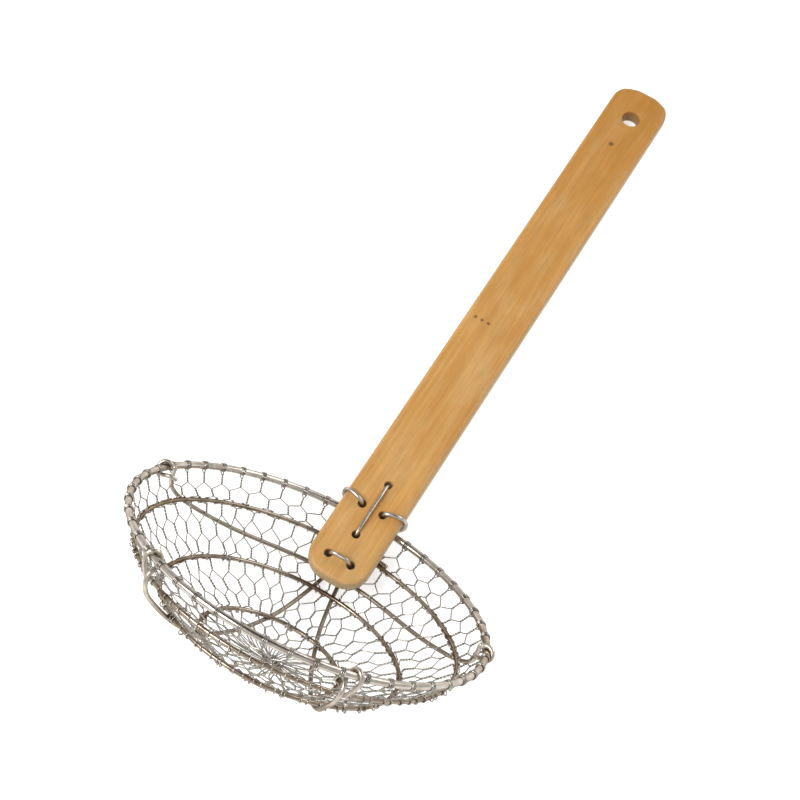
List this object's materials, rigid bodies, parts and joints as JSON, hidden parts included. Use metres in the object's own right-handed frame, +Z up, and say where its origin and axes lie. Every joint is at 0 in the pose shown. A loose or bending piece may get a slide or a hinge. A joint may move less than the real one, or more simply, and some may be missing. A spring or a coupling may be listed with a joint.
{
  "type": "wire skimmer",
  "caption": "Shallow wire-net skimmer bowl on a thick wire rim, tied with wire to a long flat bamboo handle, for lifting food out of hot liquid.",
  "frame": {"origin": "the point of the table below the middle of the whole skimmer, as it lies with its bowl on the two spokes and the handle on its far end; z = 0 is the table", "axes": "+X along the handle from the bowl to the hanging hole, +Z up off the table, the bowl's mouth faces up and towards +X; the skimmer is the same on both sides of the plane y = 0"},
  "size_m": [0.5662, 0.2348, 0.1787],
  "materials": {
    "bamboo": "smooth bare bamboo, faint grain along the handle",
    "rim_wire": "bright drawn wire, slightly dulled",
    "frame_wire": "drawn wire with a brown film",
    "net_wire": "fine drawn wire"
  },
  "bodies": {
    "root": {"handle": "bamboo", "rim_hoop": "rim_wire", "upper_hoop": "frame_wire", "middle_hoop": "frame_wire", "lower_hoop": "frame_wire", "cross_wire": "frame_wire", "left_spoke": "frame_wire", "right_spoke": "frame_wire", "rim_staple": "rim_wire", "tip_staple": "rim_wire", "net_knot": "net_wire", "net_sector_01": "net_wire", "net_sector_02": "net_wire", "net_sector_03": "net_wire", "net_sector_04": "net_wire", "net_sector_05": "net_wire", "net_sector_06": "net_wire", "net_sector_07": "net_wire", "net_sector_08": "net_wire", "net_sector_09": "net_wire", "net_sector_10": "net_wire", "net_sector_11": "net_wire", "net_sector_12": "net_wire"}
  },
  "joints": []
}
